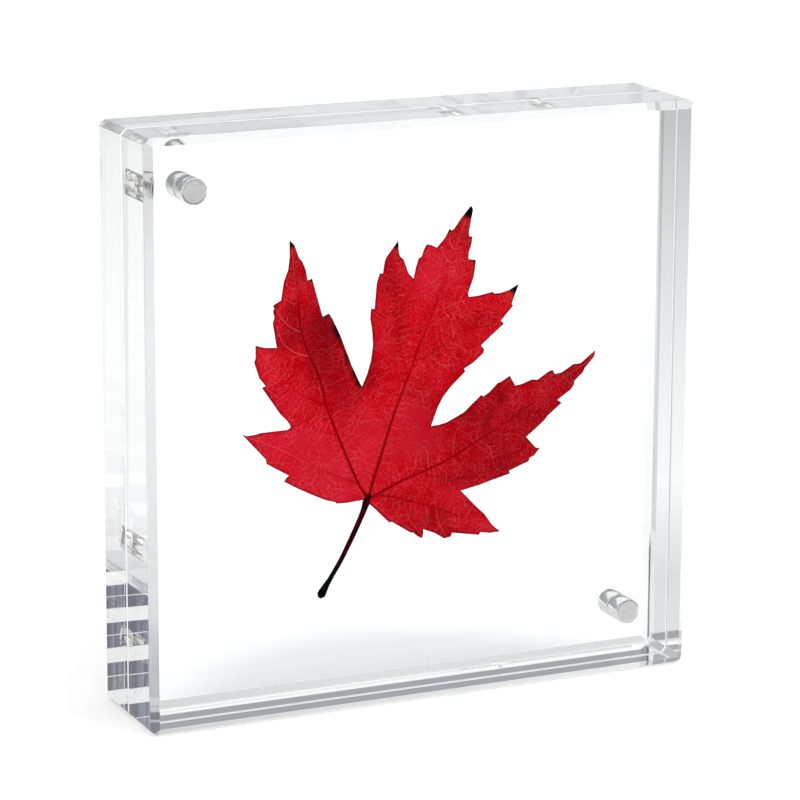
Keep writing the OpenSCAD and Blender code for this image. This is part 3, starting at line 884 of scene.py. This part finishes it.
def leafMaterial():
    material, tree, shader = newMaterial("driedLeaf")
    finish, shares = leafFinish, leafFinish["shares"]
    place = coordinates(tree, "Object")

    def value(name):
        return node(tree, "ShaderNodeAttribute", attribute_name=name).outputs["Fac"]

    broad = grain(tree, place, finish["blotchScale"])["Mottle"]
    fine = grain(tree, place, finish["grainScale"], *finish["roughness"], detail=2)
    colour = blend(tree, broad, *finish["red"])
    colour = blend(tree, spread(tree, fine["Height"], *finish["speckFrom"]), colour, finish["speck"])
    colour = blend(tree, times(tree, value("pale"), shares["pale"]), colour, finish["pinker"])
    warp = node(tree, "ShaderNodeTexNoise", {"Vector": place, "Scale": finish["warpScale"], "Detail": 1})
    warp = vectorMaths(tree, "MULTIPLY", warp.outputs["Color"], finish["warp"])[0]
    warp = vectorMaths(tree, "ADD", place, warp)[0]
    net = node(tree, "ShaderNodeTexVoronoi", {"Vector": warp, "Scale": finish["netScale"]},
               feature="DISTANCE_TO_EDGE").outputs["Distance"]
    patches = grain(tree, place, *finish["netPatches"], detail=2)["Mottle"]
    colour = blend(tree, times(tree, spread(tree, net, *finish["netWidth"]), patches), colour, finish["net"])
    # the modelled veins carry their tone
    tone = value("tone")
    showing = mixValues(tree, value("fine"), 1, grain(tree, place, *finish["veinPatches"], detail=2)["Mottle"])
    colour = blend(tree, times(tree, spread(tree, tone, 0.5, 1), showing), colour, finish["paleVein"])
    colour = blend(tree, spread(tree, tone, 0.5, 0), colour, finish["darkVein"])
    for name in ("shade", "rim"):
        colour = blend(tree, times(tree, value(name), shares[name]), colour, finish[name])
    for name in ("amber", "burnt"):
        colour = blend(tree, value(name), colour, finish[name])
    for name in ("stalk", "stalkEnd"):
        colour = blend(tree, spread(tree, value("stalk"), *finish[name + "From"]), colour, finish[name])
    skin = bump(tree, maths(tree, "ADD", net, fine["Height"]), finish["bumpDepth"], finish["bumpStrength"])
    setInputs(tree, shader, {"Base Color": colour, "Roughness": fine["Mottle"],
                             "Specular IOR Level": finish["shine"], "Normal": skin})
    return material


def spots(shares, rows):
    total = np.zeros(len(shares))
    for *place, strength in rows:
        x, z, reachX, reachZ = np.array(place) / 1000
        away = ((shares[:, 0] - x) / reachX) ** 2 + ((shares[:, 1] - z) / reachZ) ** 2
        total = 1 - (1 - total) * (1 - strength * np.exp(-away ** leafShape["spotFall"]))
    return total


def finishLeaf(leaf, outline):
    # where the colours change, and the gentle waves of the whole leaf
    places = readPlaces(leaf)
    shares = (places[:, [0, 2]] - np.array(leafShape["heart"])) / leafShape["span"]
    edgeAway = distanceToEdge(places[:, [0, 2]], outline)
    setValues(leaf, "rim", np.clip(1 - edgeAway / leafShape["rimColour"], 0, 1))
    setValues(leaf, "shade", spots(shares, darkSpots))
    setValues(leaf, "pale", spots(shares, paleSpots))
    reachIn, fade = leafShape["blackEdge"]
    burnt = spots(shares, blackSpots) * np.clip((reachIn - edgeAway) / fade, 0, 1)
    amber = np.zeros(len(burnt))
    (blackEnd, blackFade), (amberEnd, amberFade, amberMost) = leafShape["blackTip"], leafShape["amberTip"]
    for x, z, reach in np.array(burntTips) / 1000:
        away = np.hypot(shares[:, 0] - x, shares[:, 1] - z) / reach
        burnt = np.maximum(burnt, np.clip((blackEnd - away) / blackFade, 0, 1))
        amber = np.maximum(amber, np.clip((amberEnd - away) / amberFade, 0, 1) * amberMost)
    setValues(leaf, "burnt", burnt)
    setValues(leaf, "amber", amber)
    x, z = shares.T
    wave = sum(high * np.sin(across * x + up * z + start) for high, across, up, start in leafShape["waves"])
    places[:, 1] += wave * leafShape["wave"]
    writePlaces(leaf, places)
    choose(leaf)
    bpy.ops.object.shade_smooth_by_angle(angle=leafShape["sharpFrom"])
    leaf.data.materials.clear()
    leaf.data.materials.append(leafMaterial())
    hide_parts("pressed_leaf")
    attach(leaf, "leaf")


def makeLeaf():
    outline = leafPlaces(leafOutline)
    blade = makeBlade(outline)
    mainJobs, sideJobs, fineJobs = [], [], []
    for vein in mainVeins:
        line, at, marks = smoothLine(leafPlaces(vein["line"]), ribShape["step"])
        mainJobs.append((line, np.interp(at, [0, 1], vein["width"]) * mm / 2,
                         np.interp(at, marks, vein["tones"])))
    for startTone, endTone, points in sideVeins:
        line, at, marks = smoothLine(leafPlaces(points), ribShape["step"])
        sideJobs.append((line, np.interp(at, [0, 1], ribShape["sideWidth"]) * mm / 2,
                         np.interp(at, [0, 1], (startTone, endTone))))
    rand = random.Random(leafShape["seed"] + 1)
    for line, plan in growNet([job[0] / mm for job in mainJobs + sideJobs], outline / mm):
        at = np.linspace(0, 1, len(line))
        tones = np.interp(at, [0, rand.uniform(*netShape["toneTurn"]), 1],
                          [rand.uniform(*plan["tones"]) for i in range(3)])
        fineJobs.append((line * mm, np.interp(at, [0, 1], plan["width"]) * mm / 2, tones))
    mainRibs = makeRibs("mainRibs", mainJobs, 1, ribShape["mainRise"])
    sideRibs = makeRibs("sideRibs", sideJobs, 0, ribShape["sideRise"])
    fineRibs = makeRibs("fineRibs", fineJobs, 0, ribShape["fineRise"])
    setValues(fineRibs, "fine", np.ones(len(fineRibs.data.vertices)))
    for piece in (blade, mainRibs, sideRibs, fineRibs):
        setValues(piece, "stalk", np.zeros(len(piece.data.vertices)))
    stalk = makeStalk()
    choose(blade)
    for piece in (mainRibs, sideRibs, fineRibs, stalk):
        piece.select_set(True)
    bpy.ops.object.join()
    finishLeaf(blade, outline)
    print("leaf made with", len(fineJobs), "fine veins")


makeLeaf()


# What a ray has been through decides what it sees: the room is white and its light falls softly from the front
# and the right, and the greys of a darker studio are painted reflections, which the floor and world show only
# to rays mirrored in or seen through the acrylic.
# Ranges are where a change starts and ends, then the values that it has there, or 0 and 1.
studio = {
    "floorSize": 12.0,
    "floorDrop": 0.05 * mm,
    "floorColour": (0.6, 0.6, 0.6, 1),
    "floorRoughness": 0.9,
    "floorLift": 0.46,                    # makes the lit floor white to the camera
    "floorGlow": 0.3,                     # what the floor gives back to the object besides its shaded light
    "throughLift": (0.036, 0.052, 0, 0.19),     # makes up for what the blocks' four faces hold back
    "whiteEdge": (0.565, 0.065),          # slope and place of the line past which the floor seen through the blocks is painted darker, at the right
    "edgeFade": (-0.002, 0.07, 0, 0.34),
    "edgeFrom": (0.05, 0.1),
    "floorFade": (0.12, 0.7, 1.05, 0.49),       # tone of the mirrored floor, near to far
    "floorFoot": (0.045, 0.12, 0.71, 1),
    "rightSide": (0.055, 0.075),
    "rightTone": (0.045, 0.085, 0.74, 1.03),
    "frontFrom": (0.5, 0.65),
    "frontTone": 0.62,
    "frontLeft": (-0.1, -0.3),            # how far left and forward it gets bright again
    "frontLeftTone": 0.92,
    "paintedCard": (0.055, 0.07),                # painted reflection: the floor in front is darkened as by a dark card, for rays mirrored once in the acrylic; it ends nearer for some rays
    "paintedCardLeft": (-0.5, -0.25),
    "discPaintedCard": (0.2, 0.3, 1, 0),
    "innerPaintedCard": (0.45, 0.5, 1, 0),
    "outsidePaintedCard": (0.45, 1.2, 1, 0),
    "rearPaintedCard": (0.02, 0.06),
    "footShade": (0.115, 0.155, 0.62, 0),       # what the left side mirrors near its foot
    "footLeft": (-0.05, -0.06),
    "keyFrom": (0.35, -0.62, 0.7),
    "light": (0.3, 1, 0.55, 2.25),        # by how far a direction turns towards the key light
    "paintedWallTone": (0.22, 0.30, -0.2, 0.27),
    "paintedWallRight": (0.32, 0.39, 0, 0.12),
    "outerTone": (0.82, 0.83, 0.86, 1),
    "innerTones": ((0.0, (0.32, 0.33, 0.35, 1)), (0.35, (0.37, 0.38, 0.40, 1)), (0.5, (1, 1, 1, 1))),
    "innerLeft": (-0.12, -0.2, 0, 0.1),   # towards the left they are those of this much lower
    "deepTones": ((0.0, (0.048, 0.052, 0.082, 1)), (0.3, (0.108, 0.116, 0.155, 1)), (0.55, (1, 1, 1, 1))),
    "deepLeft": (-0.42, -0.15, 0.52, 0),  # towards the left the deep tones are those of this height
    "leftWall": (0.3534, 0.3541),         # heading of rays that came in by the left side, which see painted streaks
    "streakScale": 420,
    "streaks": (-1.3, 4.4),
    "streakDark": 0.12,
}


def studioRange(tree, value, name):
    return spread(tree, value, *studio[name])


def rayMasks(tree):
    # 1 for the rays that each name stands for, by how often they were mirrored and went through a face
    path = node(tree, "ShaderNodeLightPath").outputs
    through, mirrors = path["Transmission Depth"], path["Glossy Depth"]
    zigzag, allFaces = 4, 4

    def over(depth, count):
        return maths(tree, "GREATER_THAN", depth, count - 0.5)

    def under(depth, count):
        return maths(tree, "LESS_THAN", depth, count - 0.5)

    seen = maths(tree, "MAXIMUM", path["Is Camera Ray"], path["Is Glossy Ray"])
    seen = maths(tree, "MAXIMUM", seen, path["Is Transmission Ray"])
    seen = times(tree, seen, under(path["Diffuse Depth"], 1))
    mirrored = times(tree, seen, over(mirrors, 1))
    onceMirrored = times(tree, mirrored, under(mirrors, 2))
    return {
        "seen": seen,
        "mirrored": mirrored,
        "onceMirrored": onceMirrored,
        "inner": times(tree, onceMirrored, over(through, 1), under(through, 3)),
        "deep": times(tree, seen, over(mirrors, zigzag)),
        "outside": times(tree, mirrored, under(through, 1)),
        "shallow": times(tree, mirrored, under(mirrors, zigzag)),
        "through": times(tree, seen, over(through, allFaces), under(mirrors, 1)),
    }


def frontLeftShare(tree, masks, x, y):
    return times(tree, studioRange(tree, x, "frontLeft"), studioRange(tree, y, "frontLeft"), masks["shallow"])


def floorLift(tree, masks, x, y, away):
    # what makes the floor white to the camera, also through the blocks, up to the white edge, past which
    # painted shade greys it
    slope, start = studio["whiteEdge"]
    pastEdge = maths(tree, "SUBTRACT", maths(tree, "SUBTRACT", x, times(tree, y, slope)), start)
    edge = times(tree, studioRange(tree, pastEdge, "edgeFade"), studioRange(tree, y, "edgeFrom"))
    extra = maths(tree, "SUBTRACT", studioRange(tree, away, "throughLift"), edge)
    lift = mixValues(tree, masks["seen"], studio["floorGlow"], studio["floorLift"])
    return maths(tree, "ADD", lift, times(tree, masks["through"], extra))


def floorTone(tree, masks, x, y, away):
    # painted reflections: in reflections the floor falls off to grey behind and stays white at the right, and a
    # dark card is painted in front
    front = times(tree, y, -1)
    tone = times(tree, studioRange(tree, away, "floorFade"), studioRange(tree, y, "floorFoot"))
    tone = mixValues(tree, studioRange(tree, x, "rightSide"), tone, studioRange(tree, x, "rightTone"))
    tone = mixValues(tree, studioRange(tree, front, "frontFrom"), tone, studio["frontTone"])
    tone = mixValues(tree, frontLeftShare(tree, masks, x, y), tone, studio["frontLeftTone"])
    paintedCard = studioRange(tree, front, "discPaintedCard")
    for name in ("inner", "outside"):
        paintedCard = mixValues(tree, masks[name], paintedCard, studioRange(tree, front, name + "PaintedCard"))
    paintedCard = times(tree, paintedCard, studioRange(tree, front, "paintedCard"), studioRange(tree, x, "paintedCardLeft"))
    rear = times(tree, masks["inner"], studioRange(tree, y, "rearPaintedCard"))
    paintedCard = times(tree, maths(tree, "MAXIMUM", paintedCard, rear), masks["onceMirrored"])
    foot = times(tree, studioRange(tree, away, "footShade"), studioRange(tree, x, "footLeft"), masks["outside"])
    for shade in (paintedCard, foot):
        tone = times(tree, tone, maths(tree, "SUBTRACT", 1, shade))
    return tone


def makeFloor():
    clearSelection()
    bpy.ops.mesh.primitive_plane_add(size=studio["floorSize"], location=(0, 0, -studio["floorDrop"]))
    floor = settle("studioFloor")
    material, tree, shader = newMaterial("paleFloor")
    masks = rayMasks(tree)
    place = coordinates(tree, "Object")
    x, y, z = axesOf(tree, place)
    away = vectorMaths(tree, "LENGTH", place)["Value"]
    setInputs(tree, shader, {"Base Color": studio["floorColour"], "Roughness": studio["floorRoughness"],
                             "Specular IOR Level": 0, "Emission Color": (1, 1, 1, 1),
                             "Emission Strength": floorLift(tree, masks, x, y, away)})
    sweep = node(tree, "ShaderNodeEmission", {"Strength": floorTone(tree, masks, x, y, away)})
    mix = node(tree, "ShaderNodeMixShader", {0: masks["mirrored"], 1: shader.outputs[0], 2: sweep.outputs[0]})
    tree.links.new(mix.outputs[0], tree.nodes["Material Output"].inputs["Surface"])
    floor.data.materials.append(material)


def toneRamp(tree, height, tones):
    ramp = node(tree, "ShaderNodeValToRGB", {0: height})
    stops = ramp.color_ramp.elements
    while len(stops) < len(tones):
        stops.new(0.5)
    for stop, (position, colour) in zip(stops, tones):
        stop.position = position
        stop.color = colour
    return ramp.outputs["Color"]


def makeWorld():
    world = bpy.data.worlds.new("studioWorld")
    bpy.context.scene.world = world
    world.use_nodes = True
    tree = world.node_tree
    tree.nodes.clear()
    masks = rayMasks(tree)
    direction = coordinates(tree, "Generated")
    facing = vectorMaths(tree, "DOT_PRODUCT", direction, Vector(studio["keyFrom"]).normalized())["Value"]
    x, y, z = axesOf(tree, direction)
    # painted shade and light for rays seen through the blocks alone: a wall behind the white floor, which is
    # not modelled, is what the low bevels look at
    paintedWall = maths(tree, "ADD", studioRange(tree, z, "paintedWallTone"), studioRange(tree, x, "paintedWallRight"))
    tone = mixValues(tree, masks["seen"], studioRange(tree, facing, "light"), 1.0)
    tone = maths(tree, "ADD", tone, times(tree, masks["through"], paintedWall))
    innerHeight = maths(tree, "SUBTRACT", z, studioRange(tree, x, "innerLeft"))
    colour = blend(tree, masks["mirrored"], tone, toneRamp(tree, innerHeight, studio["innerTones"]))
    leftTone = studio["frontLeftTone"]
    colour = blend(tree, frontLeftShare(tree, masks, x, y), colour, (leftTone, leftTone, leftTone, 1))
    # painted streaks in the deep reflections run up and down, so they follow the heading alone
    level = maths(tree, "SQRT", maths(tree, "SUBTRACT", 1, times(tree, z, z)))
    heading = maths(tree, "DIVIDE", maths(tree, "ABSOLUTE", x), level)
    line = node(tree, "ShaderNodeCombineXYZ", {0: heading}).outputs[0]
    streaks = grain(tree, line, studio["streakScale"], *studio["streaks"], detail=2)["Mottle"]
    streaks = maths(tree, "MAXIMUM", streaks, studio["streakDark"])
    streaks = mixValues(tree, studioRange(tree, heading, "leftWall"), streaks, 1)
    deepHeight = maths(tree, "MAXIMUM", z, studioRange(tree, x, "deepLeft"))
    deepTone = vectorMaths(tree, "MULTIPLY", toneRamp(tree, deepHeight, studio["deepTones"]), streaks)[0]
    colour = blend(tree, masks["deep"], colour, deepTone)
    colour = blend(tree, masks["outside"], colour, studio["outerTone"])
    background = node(tree, "ShaderNodeBackground", {"Color": colour})
    tree.links.new(background.outputs[0], node(tree, "ShaderNodeOutputWorld").inputs["Surface"])


view = {
    "location": (-0.2908, -0.62999, 0.22875),
    "yaw": 0.4322,                # to the right of straight ahead, in radians
    "pitch": -0.2424,
    "roll": 0.0046,
    "lens": 165.68,
    "sensor": 36,
}


def makeCamera():
    yaw, pitch, roll = view["yaw"], view["pitch"], view["roll"]
    forward = Vector((math.sin(yaw) * math.cos(pitch), math.cos(yaw) * math.cos(pitch), math.sin(pitch)))
    right = forward.cross(Vector((0, 0, 1))).normalized()
    up = right.cross(forward)
    tilted = right * math.cos(roll) + up * math.sin(roll)
    upright = up * math.cos(roll) - right * math.sin(roll)
    bpy.ops.object.camera_add(location=view["location"])
    camera = bpy.context.object
    camera.name = "photoCamera"
    camera.rotation_mode = "QUATERNION"
    camera.rotation_quaternion = Matrix((tilted, upright, -forward)).transposed().to_quaternion()
    camera.data.sensor_width = view["sensor"]
    camera.data.lens = view["lens"]
    bpy.context.scene.camera = camera


makeFloor()
makeWorld()
makeCamera()
scene = bpy.context.scene
scene.view_settings.view_transform = "Standard"
scene.cycles.max_bounces = 48       # a ray may zigzag the whole height of a block
scene.cycles.glossy_bounces = 40
scene.cycles.transmission_bounces = 40
print("studio made")
